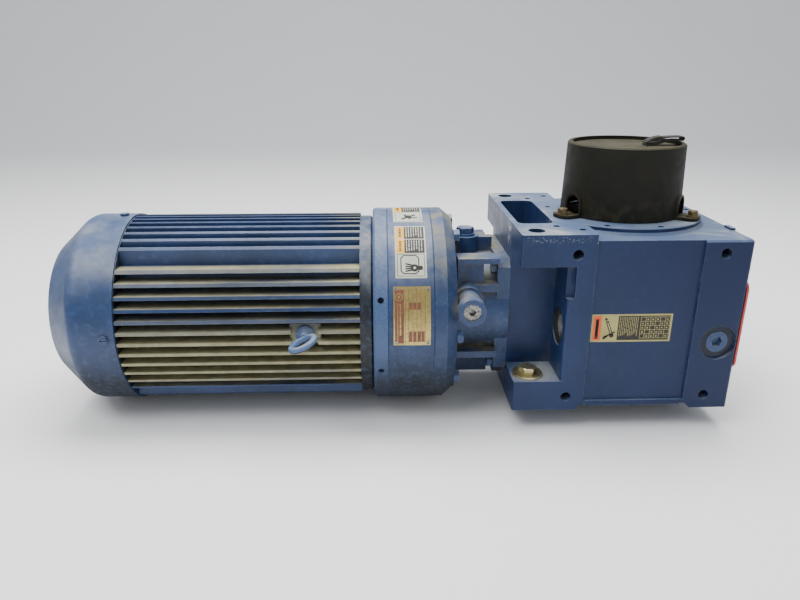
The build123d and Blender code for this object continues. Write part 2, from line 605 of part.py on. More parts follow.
def housing_outside():
    body = extrude(Pos((BOX_LEFT + BOX_RIGHT) / 2, 0)
                   * RectangleRounded(BOX_RIGHT - BOX_LEFT, 2 * BOX_HALF_Y, 5), CAST_TOP)
    body = chamfer(body.faces().sort_by(Axis.Z)[-1].edges(), 2.5)
    ears = Pos((EAR_END + PANEL[0]) / 2, 0) * RectangleRounded(PANEL[0] - EAR_END, 2 * BOX_HALF_Y, 4)
    body += Pos(0, 0, EAR_HIGH) * extrude(ears, FACE_TOP - EAR_HIGH)
    foot = Pos((EAR_END + PANEL[0]) / 2, 0) * RectangleRounded(PANEL[0] - EAR_END, 2 * BOX_HALF_Y, 4)
    body += extrude(foot, EAR_LOW)
    body += block(EAR_END, BOX_LEFT + 1, -NOSE_HALF_Y, NOSE_HALF_Y, EAR_LOW - 1, NOSE_TOP)
    body += turned("Z", (CAST_TOP - 1, 0), (CAST_TOP - 1, RING_R + 5), (CAST_TOP, RING_R + 4),
                   (CAST_TOP + 4, RING_R), (FACE_TOP - 1, RING_R), (FACE_TOP, RING_R - 1), (FACE_TOP, 0))
    for side in (-1, 1):
        wall = side * (BOX_HALF_Y - PANEL_DEPTH)
        body -= block(*PANEL, *sorted((wall, side * 160)), 14, FACE_TOP + 2)
        body -= block(*PANEL, *sorted((side * (BOX_HALF_Y - 14), side * 160)), -1, 6)
        for x in PANEL:
            body -= Pos(x, side * (BOX_HALF_Y - 4), 0) * Rot(0, 45, 0) * Box(16, 20, 16)
        # step in the wall beside the ear recess
        body -= block(BOX_LEFT - 4, BOX_LEFT + 10, *sorted((side * 138, side * 150)), 172, EAR_HIGH)
    body += block(132, 139, -92, -72, CAST_TOP - 2, CAST_TOP + 3)
    return body


def gear_housing():
    body = housing_outside()
    # pocket between the upper ears
    pocket = Pos(-146, 0) * RectangleRounded(52, 2 * NOSE_HALF_Y, 10)
    body -= Pos(0, 0, NOSE_TOP - 10) * extrude(pocket, 60)
    # gear room
    body -= block(BOX_LEFT + WALL, BOX_RIGHT - WALL, -118, 118, 34, 240)
    body -= block(BOX_LEFT + WALL, BOX_RIGHT - WALL, -134, 134, 40, 222)
    body -= rod("Z", 118, 50, 104)
    body += rod("Z", 100, 196, CAST_TOP)
    # output bearing seat, open upwards for the seal carrier
    body -= rod("Z", 76, 190, 207)
    body -= rod("Z", OUTPUT_BEARING["outer"], 206, FACE_TOP + 1)
    # lower opening with the ledge for the bottom cover
    body -= rod("Z", BOTTOM_COVER_R + 0.5, -1, LEDGE_Z)
    body -= rod("Z", BOTTOM_OPENING_R, LEDGE_Z - 1, 40)
    # input bearing seat
    body -= rod("X", NECK_BEARING["outer"], EAR_END - 1, -132, MOTOR_LINE)
    body -= rod("X", 54, -133, -90, MOTOR_LINE)
    for y in (-EAR_HOLE[1], EAR_HOLE[1]):
        body -= rod("Z", LOWER_EAR_HOLE_R, -1, EAR_LOW + 1, (EAR_HOLE[0], y))
        body -= rod("Z", EAR_HOLE_R, EAR_HIGH - 1, FACE_TOP + 1, (EAR_HOLE[0], y))
        body -= rod("Z", 5, EAR_HIGH + 15, FACE_TOP + 1, (-122, 0.8 * y))
        body -= rod("Z", 5, FACE_TOP - 22, FACE_TOP + 1, (-90, 0.97 * y))
    for x, z in side_hole_spots():
        for side in (-1, 1):
            span = sorted((side * (BOX_HALF_Y - SIDE_HOLE_DEPTH), side * (BOX_HALF_Y + 1)))
            body -= rod("Y", SIDE_HOLE_R[side], *span, (x, z))
    for i in range(RING_HOLES):
        spot = polar(RING_HOLE_CIRCLE_R, RING_HOLE_START + 360 / RING_HOLES * i)
        body -= rod("Z", RING_HOLE_R, FACE_TOP - 18, FACE_TOP + 1, spot)
    for y, z in neck_bolt_spots():
        body -= rod("X", TAP_M10, EAR_END - 1, -160, (y, z))
    for i in range(BOTTOM_BOLTS):
        body -= rod("Z", TAP_M10, LEDGE_Z - 1, 32, polar(BOTTOM_BOLT_R, 45 * i + 22.5))
    for side in (-1, 1):
        span = sorted((side * 130, side * 150))
        body -= rod("Y", 15.6, *span, OIL_PLUG)
        body -= rod("Y", 26, *sorted((side * (BOX_HALF_Y - 5), side * 150)), OIL_PLUG)
    body -= rod("X", SIGHT_R, BOX_LEFT - 1, BOX_LEFT + WALL + 1, SIGHT)
    return body


def socket_plug(side):
    """Oil plug with a hexagon socket, in a side face."""
    x, z = OIL_PLUG
    plug = rod("Y", 15.5, -BOX_HALF_Y + 4, -134, OIL_PLUG)
    plug -= Pos(x, -BOX_HALF_Y + 10, z) * Rot(90, 0, 0) * extrude(RegularPolygon(7, 6, major_radius=False), 8)
    return plug if side < 0 else mirror(plug, Plane.XZ)


def bottom_cover():
    seat = OUTPUT_BEARING["outer"]
    spigot = BOTTOM_OPENING_R - 0.2
    cover = turned("Z", (10, 72), (10, BOTTOM_COVER_R), (LEDGE_Z, BOTTOM_COVER_R), (LEDGE_Z, spigot),
                   (30, spigot), (30, 98), (52, 94), (52, seat), (24, seat), (24, 72))
    for i in range(BOTTOM_BOLTS):
        cover -= rod("Z", 5.5, 9, 23, polar(BOTTOM_BOLT_R, 45 * i + 22.5))
    return cover


def build_housing(neck_plug):
    # one casting in two nodes, parted along the wall that the ears stand out from
    casting = gear_housing()
    ear_end = block(EAR_END - 1, BOX_LEFT, -BOX_HALF_Y - 1, BOX_HALF_Y + 1, -1, FACE_TOP + 1)
    save("gear_housing", casting - ear_end)
    save("housing_ears", casting & ear_end)
    save("bottom_cover", bottom_cover())
    bolts = [rod("Z", 5, 9, 31, polar(BOTTOM_BOLT_R, 45 * i + 22.5))
             + hex_head("Z", 15, 3, 10, polar(BOTTOM_BOLT_R, 45 * i + 22.5)) for i in range(BOTTOM_BOLTS)]
    bolts += [rod("X", 5, -200, -162, spot) + hex_head("X", 17, -206, NOSE_FLANGE, spot)
              for spot in neck_bolt_spots()]
    save("housing_bolts", *bolts, *flange_bolts())
    save("oil_plugs", socket_plug(-1), socket_plug(1), neck_plug)
    glass_back = BOX_LEFT + 7
    ring = tube("X", SIGHT_R - RUN, GLASS_R - 3, BOX_LEFT + 2, glass_back + 4, SIGHT)
    glass = rod("X", GLASS_R, glass_back - 1, glass_back + 3, SIGHT)
    save("sight_ring", ring - glass)
    save("sight_glass", glass)
    washers, ear_bolts = [], []
    for y in (-EAR_HOLE[1], EAR_HOLE[1]):
        at = (EAR_HOLE[0], y)
        washers.append(turned("Z", (EAR_LOW, 10.3), (EAR_LOW, 22), (EAR_LOW + 4, 22), (EAR_LOW + 3, 17),
                              (EAR_LOW + 3, 10.3), at=at))
        bolt = rod("Z", 10, 8, EAR_LOW + 4, at) + hex_head("Z", 22, EAR_LOW + 3, EAR_LOW + 13, at, 1.2)
        ear_bolts.append(bolt)
    save("ear_bolts", *ear_bolts, *washers)
    edge = block(BOX_RIGHT, BOX_RIGHT + 3, -147, -84, 61, 193)
    save("edge_guard", fillet(edge.edges().filter_by(Axis.X), 12))


# ---------------------------------------------------------------- bevel pair
PINION_R, GEAR_R = MODULE * PINION_TEETH / 2, MODULE * GEAR_TEETH / 2
CONE = hypot(PINION_R, GEAR_R)               # outer cone distance
PINION_CONE = atan2(PINION_R, GEAR_R)        # pitch cone half angles
GEAR_CONE = pi / 2 - PINION_CONE
ADDENDUM, DEDENDUM = MODULE, 1.25 * MODULE
TOOTH_PROUD = 0.8
APEX = Pos(0, 0, AXIS_Z)


def involute_width(radius, base, teeth):
    """Half the angle that a spur tooth fills at a radius."""
    def inv(angle):
        return tan(angle) - angle
    at_radius = acos(min(1.0, base / radius))
    return pi / 2 / teeth + inv(PRESSURE) - inv(at_radius)


def tooth_outline(pitch_r, cone, teeth):
    """Half section of a tooth, square to the pitch cone: (across, outwards) from the pitch point."""
    back_r = pitch_r / cos(cone)
    back_teeth = teeth / cos(cone)
    base = back_r * cos(PRESSURE)
    low, high = back_r - DEDENDUM - 1.5, back_r + ADDENDUM
    steps = 5
    points = []
    for i in range(steps + 1):
        radius = low + (high - low) * i / steps
        half = involute_width(max(radius, base), base, back_teeth) - FLANK_GAP / back_r
        points.append((radius * sin(half), radius * cos(half) - back_r))
    return points


def bevel_tooth(pitch_r, cone, teeth):
    """One tooth at azimuth 0, on a cone whose apex is the origin and which opens towards -Z."""
    half = tooth_outline(pitch_r, cone, teeth)
    outline = [(-across, up) for across, up in half] + [(across, up) for across, up in reversed(half)]
    along = Vector(sin(cone), 0, -cos(cone))
    outwards = Vector(cos(cone), 0, sin(cone))
    side = Vector(0, 1, 0)
    faces = []
    for scale in (1.0, (CONE - FACE_WIDTH) / CONE):
        corners = [(along * CONE + side * across + outwards * up) * scale for across, up in outline]
        faces.append(Face(Wire.make_polygon(corners, close=True)))
    return Solid.make_loft([face.outer_wire() for face in faces], ruled=True)


def root_points(cone):
    """Heel and toe of the root cone: (z below the apex, radius). The teeth stand a little proud of both."""
    points = []
    for reach in (CONE - TOOTH_PROUD, CONE - FACE_WIDTH + TOOTH_PROUD):
        drop = DEDENDUM * reach / CONE
        points.append((-(reach * cos(cone) + drop * sin(cone)), reach * sin(cone) - drop * cos(cone)))
    return points


def bevel_wheel(pitch_r, cone, teeth, blank, first_angle):
    """Blank and teeth, opening towards -Z."""
    tooth = bevel_tooth(pitch_r, cone, teeth)
    return blank + [Rot(0, 0, first_angle + 360 / teeth * i) * tooth for i in range(teeth)]


def bevel_gear():
    heel, toe = root_points(GEAR_CONE)
    floor = 56 - AXIS_Z
    blank = turned("Z", (floor, 60), (floor, heel[1] - 5), (heel[0] - 4, heel[1] + 0.6), heel, toe,
                   (toe[0] - 8, toe[1] - 3), (toe[0] - 8, 60))
    wheel = bevel_wheel(GEAR_R, GEAR_CONE, GEAR_TEETH, blank, 180 / GEAR_TEETH)
    wheel -= block(56, 65, -8, 8, -80, 0)
    return APEX * wheel


def bevel_pinion():
    """Drawn opening towards -Z, then laid over so that it opens towards -X."""
    heel, toe = root_points(PINION_CONE)
    blank = turned("Z", (-126, 18), (-126, 32), (-119, 38), (heel[0] - 2, heel[1] - 1), heel, toe,
                   (toe[0] + 1, toe[1] - 2), (toe[0] + 1, 18))
    wheel = bevel_wheel(PINION_R, PINION_CONE, PINION_TEETH, blank, 0)
    wheel -= block(13, 22, -4, 4, -130, -60)
    return APEX * Rot(0, 90, 0) * wheel


# ---------------------------------------------------------------- output
def output_shaft():
    bore = OUTPUT_BEARING["bore"]
    shaft = turned("Z", (0, SHAFT_BORE_R), (0, bore - 1), (1, bore), (52, bore), (52, 60), (206, 60),
                   (206, bore), (300, bore), (300, 52), (SHAFT_TOP, 52), (SHAFT_TOP, 44), (300, SHAFT_BORE_R))
    return shaft - block(53, 61, -8, 8, 57, 80)


def seal_carrier():
    outside = OUTPUT_BEARING["outer"] - 0.1
    return turned("Z", (235, 66), (235, outside), (262, outside), (262, 60), (256, 60), (256, 72), (238, 72),
                  (238, 66))


def shaft_cover():
    """Drum over the shaft end, with arched openings and feet at its three bolts."""
    skin, lip = 3.0, 7.0
    foot_thick, foot_reach, arch_r, rim = 4.0, 118.0, 14.0, 3.5
    low = FACE_TOP + 1
    spring = low + 16              # height at which the arches start to turn
    drum = turned("Z", (low, COVER_R - skin), (low, COVER_R), (COVER_TOP - 2, COVER_TOP_R),
                  (COVER_TOP, COVER_TOP_R - 2), (COVER_TOP, COVER_TOP_R - lip),
                  (COVER_TOP - 5, COVER_TOP_R - lip), (COVER_TOP - 5, COVER_TOP_R - skin))
    for angle in TAB_ANGLES:
        foot = block(COVER_R - skin, foot_reach, -17, 17, low, low + foot_thick)
        foot = fillet(foot.edges().filter_by(Axis.Z).group_by(Axis.X)[-1], 12)
        arch = rod("X", arch_r, 70, 100, (0, spring))
        arch += block(70, 100, -arch_r, arch_r, low + foot_thick, spring)
        outside = arch_r + rim
        frame = rod("X", outside, 84, COVER_R + 1.5, (0, spring))
        frame += block(84, COVER_R + 1.5, -outside, outside, low + foot_thick, spring)
        frame -= block(80, 100, -outside, outside, low - 20, low + foot_thick)
        drum += Rot(0, 0, angle) * (foot + frame)
        drum -= Rot(0, 0, angle) * arch
        drum -= Rot(0, 0, angle) * rod("Z", 4.6, low - 1, low + 5, (RING_HOLE_CIRCLE_R, 0))
    return drum


def build_bearings_and_seals():
    outer = bearing_pair("motor_bearing", "X", MOTOR_BEARING_AT, MOTOR_LINE, MOTOR_BEARING)
    outer += bearing_pair("neck_bearing", "X", NECK_BEARING_AT, MOTOR_LINE, NECK_BEARING)
    outer += bearing_pair("output_bearing", "Z", OUTPUT_BEARING_AT, (0, 0), OUTPUT_BEARING)
    save("bearing_outer_rings", *outer)
    seals = [tube("X", 38, MOTOR_BEARING["bore"] + RUN, ADAPTER[1] - 13, ADAPTER[1] - 3, MOTOR_LINE),
             tube("X", 52, 36 + RUN, -277, -267, MOTOR_LINE)]
    seals += [tube("Z", 72, OUTPUT_BEARING["bore"] + RUN, lo, lo + 10) for lo in (12, 244)]
    save("shaft_seals", *seals)


def cover_strap():
    """Folded strap on the lid, ending in a pull loop over the rim."""
    top = COVER_TOP + 9
    fold = block(24, 56, -12, 6, COVER_TOP - 5, top)
    loop = block(50, 84, -12, 6, COVER_TOP + 0.1, top) - block(56, 81, -13, 7, COVER_TOP + 2, top - 2)
    return fold + loop


def build_output():
    save("bevel_gear", bevel_gear())
    save("bevel_pinion", bevel_pinion())
    save("pinion_nut", hex_head("X", 36, -79.5, -69, MOTOR_LINE) - rod("X", 13, -82, -60, MOTOR_LINE))
    save("output_shaft", output_shaft())
    save("gear_key", block(53, 65, -8, 8, 57, 73))
    build_bearings_and_seals()
    save("seal_carrier", seal_carrier())
    bushing = turned("Z", (301, 36), (301, 39.9), (SHAFT_TOP, 43.9), (SHAFT_TOP + 0.5, 43.9),
                     (SHAFT_TOP + 0.5, 51), (353, 51), (353, 36))
    save("taper_bushing", bushing - block(-60, 0, -1.5, 1.5, 290, 360))
    save("shaft_cover", shaft_cover())
    save("cover_lid", rod("Z", COVER_TOP_R - 3.4, COVER_TOP - 8, COVER_TOP - 5.1))
    spots = [polar(RING_HOLE_CIRCLE_R, angle) for angle in TAB_ANGLES]
    seat = FACE_TOP + 7
    bolts = [rod("Z", 4.2, FACE_TOP - 16, seat + 1, spot) + hex_head("Z", 13, seat, seat + 6.5, spot)
             for spot in spots]
    washers = [tube("Z", 9.5, 4.3, FACE_TOP + 5, FACE_TOP + 7, s) for s in spots]
    save("cover_bolts", *bolts, *washers)
    save("cover_strap", cover_strap())


os.makedirs("parts", exist_ok=True)
build_motor()
build_cycloid_stage()
build_housing(build_neck())
build_output()
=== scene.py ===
"""Looks of the right-angle gearmotor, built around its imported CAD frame. Metres, the frame's axes."""
import math

import bmesh
import bpy
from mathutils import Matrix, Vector


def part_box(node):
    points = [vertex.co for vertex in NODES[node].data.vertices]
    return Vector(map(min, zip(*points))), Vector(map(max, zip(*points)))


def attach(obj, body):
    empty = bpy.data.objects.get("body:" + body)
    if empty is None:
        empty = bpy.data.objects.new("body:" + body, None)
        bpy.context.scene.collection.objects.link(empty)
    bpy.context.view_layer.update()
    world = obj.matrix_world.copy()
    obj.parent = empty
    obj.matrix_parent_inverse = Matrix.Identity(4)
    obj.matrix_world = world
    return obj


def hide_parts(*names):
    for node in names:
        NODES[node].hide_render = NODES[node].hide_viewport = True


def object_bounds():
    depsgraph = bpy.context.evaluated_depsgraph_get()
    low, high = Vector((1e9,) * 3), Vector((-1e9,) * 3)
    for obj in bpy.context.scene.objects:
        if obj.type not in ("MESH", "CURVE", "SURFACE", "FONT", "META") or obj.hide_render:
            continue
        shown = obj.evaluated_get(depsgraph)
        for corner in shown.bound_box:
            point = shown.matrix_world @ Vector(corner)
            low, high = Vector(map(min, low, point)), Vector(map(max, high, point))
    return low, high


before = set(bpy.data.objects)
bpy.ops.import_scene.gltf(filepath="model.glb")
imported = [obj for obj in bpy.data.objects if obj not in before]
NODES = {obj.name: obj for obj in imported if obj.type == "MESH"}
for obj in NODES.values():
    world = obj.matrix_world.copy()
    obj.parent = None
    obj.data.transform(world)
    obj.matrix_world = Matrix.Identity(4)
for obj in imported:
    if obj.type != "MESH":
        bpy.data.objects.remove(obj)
CAD_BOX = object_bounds()
MM = 0.001


# ---------------------------------------------------------------- places, read from the frame
RING_LOW, RING_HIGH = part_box("ring_gear_case")
HOUSE_LOW, HOUSE_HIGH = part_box("gear_housing")
FIN_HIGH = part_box("motor_frame")[1]
COVER_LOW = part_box("shaft_cover")[0]
AXIS_Z = (RING_LOW.z + RING_HIGH.z) / 2
RING_R = (RING_HIGH.z - RING_LOW.z) / 2
PANEL_Y = HOUSE_LOW.y + 3.5 * MM         # recessed front panel of the housing
EAR_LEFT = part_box("housing_ears")[0].x   # left end of the ears
PANEL_LEFT = -76 * MM                    # right end of the ears, where the panel starts
OIL_PLUG_X, OIL_PLUG_Z = 111 * MM, 103.5 * MM


# ---------------------------------------------------------------- material graphs
class Graph:
    """A material under construction: node helpers that return output sockets."""

    def __init__(self, name):
        self.material = bpy.data.materials.new(name)
        self.material.use_nodes = True
        self.tree = self.material.node_tree
        self.tree.nodes.clear()
        self.bsdf = self.tree.nodes.new("ShaderNodeBsdfPrincipled")
        out = self.tree.nodes.new("ShaderNodeOutputMaterial")
        self.tree.links.new(self.bsdf.outputs[0], out.inputs[0])
        coords = self.tree.nodes.new("ShaderNodeTexCoord")
        self.place = coords.outputs["Object"]
        self.normal = coords.outputs["Normal"]

    def node(self, kind, inputs=(), **settings):
        made = self.tree.nodes.new("ShaderNode" + kind)
        for key, value in settings.items():
            setattr(made, key, value)
        for key, value in dict(inputs).items():
            self.feed(made.inputs[key], value)
        return made

    def feed(self, socket, value):
        if isinstance(value, bpy.types.NodeSocket):
            self.tree.links.new(value, socket)
        else:
            if socket.type == "RGBA" and len(value) == 3:
                value = (*value, 1.0)
            socket.default_value = value

    def set(self, **values):
        """Principled inputs; underscores stand for spaces."""
        for key, value in values.items():
            self.feed(self.bsdf.inputs[key.replace("_", " ")], value)
        return self

    def math(self, operation, a, b=0.0, clamp=False):
        made = self.node("Math", {0: a, 1: b}, operation=operation)
        made.use_clamp = clamp
        return made.outputs[0]

    def scaled(self, stretch):
        return self.node("Mapping", {"Vector": self.place, "Scale": stretch}).outputs[0]

    def noise(self, scale, detail=3.0, rough=0.55, stretch=None, twist=0.0):
        vector = self.scaled(stretch) if stretch else self.place
        made = self.node("TexNoise", {"Vector": vector, "Scale": scale, "Detail": detail,
                                      "Roughness": rough, "Distortion": twist})
        return made.outputs["Fac"]

    def cells(self, scale):
        return self.node("TexVoronoi", {"Vector": self.place, "Scale": scale}).outputs["Distance"]

    def step(self, value, low, high, to=(0.0, 1.0)):
        """Smooth map of value from low..high onto to."""
        made = self.node("MapRange", {"Value": value, "From Min": low, "From Max": high,
                                      "To Min": to[0], "To Max": to[1]}, interpolation_type="SMOOTHSTEP")
        return made.outputs[0]

    def axis(self, source, which):
        return self.node("SeparateXYZ", {0: source}).outputs["XYZ".index(which)]

    def mix(self, share, a, b):
        made = self.node("Mix", data_type="RGBA")
        self.feed(made.inputs["Factor"], share)
        self.feed(made.inputs[6], a)
        self.feed(made.inputs[7], b)
        return made.outputs[2]

    def blend(self, share, a, b):
        """Mix of two numbers."""
        made = self.node("Mix", data_type="FLOAT")
        self.feed(made.inputs["Factor"], share)
        self.feed(made.inputs[2], a)
        self.feed(made.inputs[3], b)
        return made.outputs[0]

    def product(self, *values):
        result = values[0]
        for value in values[1:]:
            result = self.math("MULTIPLY", result, value)
        return result

    def bump(self, height, distance, strength=1.0, under=None):
        inputs = {"Height": height, "Distance": distance, "Strength": strength}
        if under is not None:
            inputs["Normal"] = under
        return self.node("Bump", inputs).outputs[0]

    def edge(self, radius, low=0.02, high=0.25):
        """1 along convex and concave edges, 0 on open faces."""
        rounded = self.node("Bevel", {"Radius": radius}, samples=4).outputs[0]
        flat = self.node("NewGeometry").outputs["Normal"]
        dot = self.node("VectorMath", {0: rounded, 1: flat}, operation="DOT_PRODUCT").outputs["Value"]
        return self.step(self.math("SUBTRACT", 1.0, dot), low, high)

    def hollow(self, reach, low=0.15, high=0.75):
        """1 deep in gaps, 0 in the open."""
        made = self.node("AmbientOcclusion", {"Distance": reach}, samples=6)
        return self.step(made.outputs["AO"], low, high, (1.0, 0.0))

    def near(self, which, value, spread):
        """1 close to a plane across the given axis, falling to 0 at spread."""
        gap = self.math("ABSOLUTE", self.math("SUBTRACT", self.axis(self.place, which), value))
        return self.step(gap, spread * 0.4, spread, (1.0, 0.0))


DUST = (0.28, 0.25, 0.13)
PALE_DUST = (0.46, 0.45, 0.38)
BLUE = (0.024, 0.054, 0.150)
BLUE_LIGHT = (0.060, 0.115, 0.245)
BLUE_DARK = (0.013, 0.030, 0.080)
WORN_BLUE = (0.16, 0.22, 0.35)
SHADED_BLUE = (0.004, 0.012, 0.052)
# painted highlight for the top faces of the housing
TOP_HIGHLIGHT_BLUE = (0.105, 0.155, 0.260)
CHIPPED = (0.30, 0.33, 0.35)
DRIED_DRIP = (0.62, 0.62, 0.55)
FIN_DUST = (0.35, 0.33, 0.18)
FIN_TIPS = (0.26, 0.31, 0.38)
# near-black painted shade, for downward faces and recesses
PAINTED_SHADE = (0.011, 0.013, 0.014)


def paint(name, grain=0.35, pits=1.0, top_dust=0.5, gap_dust=0.0, wear=0.5, base=BLUE, gloss=0.36,
          speckle=0.0):
    """Blue enamel over a casting: sand-cast bump, uneven colour, painted shade below and painted highlight
    on top, settled dust, worn edges.
    """
    g = Graph(name)
    broad = g.noise(9.0, 4.0, 0.6)
    fine = g.noise(130.0, 3.0)
    tone = g.mix(g.step(broad, 0.3, 0.7), BLUE_DARK if base is BLUE else base, base)
    below = g.step(g.axis(g.normal, "Z"), -0.05, -0.60)
    # painted shade: downward faces darkened towards near-black
    tone = g.mix(g.product(below, 0.9), tone, PAINTED_SHADE)
    tone = g.mix(g.product(g.step(fine, 0.45, 0.8), 0.35), tone, BLUE_LIGHT)
    up = g.step(g.axis(g.normal, "Z"), 0.25, 0.95)
    # painted highlight: upward faces lighter blue
    tone = g.mix(g.product(up, 0.45), tone, BLUE_LIGHT)
    patches = g.step(g.noise(22.0, 6.0, 0.65), 0.35, 0.72)
    dust = g.product(up, patches, top_dust)
    if gap_dust:
        gaps = g.product(g.hollow(22 * MM), g.step(g.noise(35.0, 5.0), 0.25, 0.65), gap_dust)
        dust = g.math("MAXIMUM", dust, gaps)
    tone = g.mix(dust, tone, PALE_DUST if not gap_dust else DUST)
    worn = g.product(g.edge(1.6 * MM), g.step(g.noise(260.0, 4.0), 0.42, 0.62), wear)
    tone = g.mix(worn, tone, WORN_BLUE)
    if speckle:
        flecks = g.product(g.step(g.noise(520.0, 3.0), 0.55, 0.68), g.step(g.axis(g.normal, "Z"), -0.3, 0.6))
        tone = g.mix(g.product(flecks, speckle), tone, PALE_DUST)
    rough = g.step(g.noise(48.0, 4.0), 0.2, 0.8, (gloss - 0.06, gloss + 0.12))
    rough = g.math("ADD", rough, g.product(g.math("MAXIMUM", dust, below), 0.4), clamp=True)
    cast = g.bump(g.noise(420.0, 4.0, 0.7), 0.25 * MM * grain, 1.0)
    cast = g.bump(g.step(g.cells(160.0), 0.0, 0.35), 0.12 * MM * pits, 0.7, cast)
    g.set(Base_Color=tone, Roughness=rough, Normal=cast, Specular_IOR_Level=0.42)
    return g.material


def paint_fins():
    """Motor frame: enamel, with dust lying on the fins and baked on to the lower ones."""
    g = Graph("paint_fins")
    height = g.axis(g.place, "Z")
    across = g.axis(g.place, "Y")
    up = g.step(g.axis(g.normal, "Z"), 0.3, 0.9)
    streak = g.noise(26.0, 5.0, 0.6, stretch=(0.12, 1.0, 1.0))
    tone = g.mix(g.step(g.noise(7.0, 3.0), 0.3, 0.7), BLUE_DARK, BLUE)
    tone = g.mix(g.product(g.step(g.noise(120.0, 3.0), 0.5, 0.8), 0.3), tone, BLUE_LIGHT)
    # dust on upward faces of the side fins, thicker at the ends of the frame
    side = g.step(across, -86 * MM, -94 * MM)
    ends = g.step(g.axis(g.place, "X"), FIN_HIGH.x - 70 * MM, FIN_HIGH.x)
    lying = g.product(up, side, g.step(streak, 0.25, 0.6))
    lying = g.math("ADD", g.product(lying, 0.75), g.product(up, ends, 0.4), clamp=True)
    # the fins under the lifting eye are dusty all over, the lowest ones hardly
    low = g.step(height, AXIS_Z + 34 * MM, AXIS_Z - 8 * MM)
    low = g.product(low, g.step(height, AXIS_Z - 92 * MM, AXIS_Z - 70 * MM), side)
    low = g.product(low, g.step(streak, 0.12, 0.50), 0.85)
    dust = g.math("MAXIMUM", lying, low)
    tone = g.mix(dust, tone, g.mix(g.step(g.noise(60.0, 4.0), 0.35, 0.65), FIN_DUST, DUST))
    tips = g.product(g.edge(1.2 * MM), g.step(g.noise(90.0, 4.0), 0.3, 0.6),
                     g.step(height, AXIS_Z - 30 * MM, AXIS_Z))
    tone = g.mix(g.product(tips, 0.45), tone, FIN_TIPS)
    rough = g.math("ADD", 0.36, g.product(dust, 0.45), clamp=True)
    normal = g.bump(g.noise(380.0, 4.0, 0.7), 0.12 * MM)
    g.set(Base_Color=tone, Roughness=rough, Normal=normal, Specular_IOR_Level=0.42)
    return g.material


def paint_housing():
    """Gear housing: smooth enamel, painted shade darker to the right, painted highlight and dust on top,
    chips on the upper ear.
    """
    g = Graph("paint_housing")
    height = g.axis(g.place, "Z")
    along = g.axis(g.place, "X")
    front = g.step(g.axis(g.place, "Y"), HOUSE_LOW.y + 1.5 * MM, HOUSE_LOW.y + 0.5 * MM)
    up = g.step(g.axis(g.normal, "Z"), 0.3, 0.95)
    tone = g.mix(g.step(g.noise(6.0, 4.0), 0.3, 0.7), BLUE_DARK, BLUE)
    tone = g.mix(g.product(g.step(g.noise(150.0, 4.0), 0.5, 0.85), 0.25), tone, BLUE_LIGHT)
    shade = g.product(g.step(along, -80 * MM, 110 * MM, (0.55, 0.92)), g.step(up, 1.0, 0.0))
    tone = g.mix(shade, tone, SHADED_BLUE)
    # painted highlight: top faces lighter blue
    tone = g.mix(g.product(up, 0.75), tone, TOP_HIGHLIGHT_BLUE)
    # painted shadow in the counterbore of the oil plug, darkened towards near-black
    counterbore = g.product(g.near("X", OIL_PLUG_X, 34 * MM), g.near("Z", OIL_PLUG_Z, 34 * MM),
                            g.step(front, 1.0, 0.0))
    tone = g.mix(g.product(counterbore, 0.8), tone, PAINTED_SHADE)
    patches = g.step(g.noise(13.0, 6.0, 0.62, twist=0.6), 0.42, 0.72)
    ends = g.math("MAXIMUM", g.step(along, 20 * MM, 120 * MM, (0.30, 1.0)),
                  g.step(along, -90 * MM, -130 * MM, (0.0, 0.85)))
    dust = g.product(up, patches, ends, 0.75)
    gaps = g.product(g.hollow(30 * MM), g.step(g.noise(28.0, 5.0), 0.4, 0.7), 0.16)
    dust = g.math("MAXIMUM", dust, gaps)
    tone = g.mix(dust, tone, PALE_DUST)
    # chipped paint along the upper edge of the left ear
    band = g.near("Z", HOUSE_HIGH.z - 7 * MM, 6 * MM)
    left = g.product(g.step(along, EAR_LEFT + 2 * MM, EAR_LEFT + 12 * MM),
                     g.step(along, PANEL_LEFT, PANEL_LEFT - 20 * MM))
    chips = g.product(band, left, front, g.step(g.noise(420.0, 3.0), 0.55, 0.64))
    tone = g.mix(g.product(chips, 0.35), tone, CHIPPED)
    # dried drip on the left end
    drip = g.product(g.near("Y", -60 * MM, 14 * MM), g.near("Z", HOUSE_HIGH.z - 16 * MM, 26 * MM),
                     g.step(g.axis(g.normal, "X"), -0.6, -0.9), g.step(g.noise(120.0, 2.0), 0.5, 0.6))
    tone = g.mix(g.product(drip, 0.6), tone, DRIED_DRIP)
    # the casting is in two nodes, so no paint wears off where they part
    parting = g.step(g.near("X", HOUSE_LOW.x, 4 * MM), 1.0, 0.0)
    worn = g.product(g.edge(1.4 * MM), g.step(g.noise(200.0, 4.0), 0.35, 0.6), parting, 0.6)
    tone = g.mix(worn, tone, WORN_BLUE)
    rough = g.math("ADD", g.step(g.noise(40.0, 4.0), 0.2, 0.8, (0.33, 0.45)), g.product(dust, 0.4),
                   clamp=True)
    cast = g.bump(g.noise(360.0, 4.0, 0.7), 0.16 * MM, g.blend(front, 1.0, 0.25))
    cast = g.bump(g.noise(30.0, 3.0), 0.5 * MM, g.blend(front, 0.6, 0.08), cast)
    g.set(Base_Color=tone, Roughness=rough, Normal=cast, Specular_IOR_Level=0.28)
    return g.material


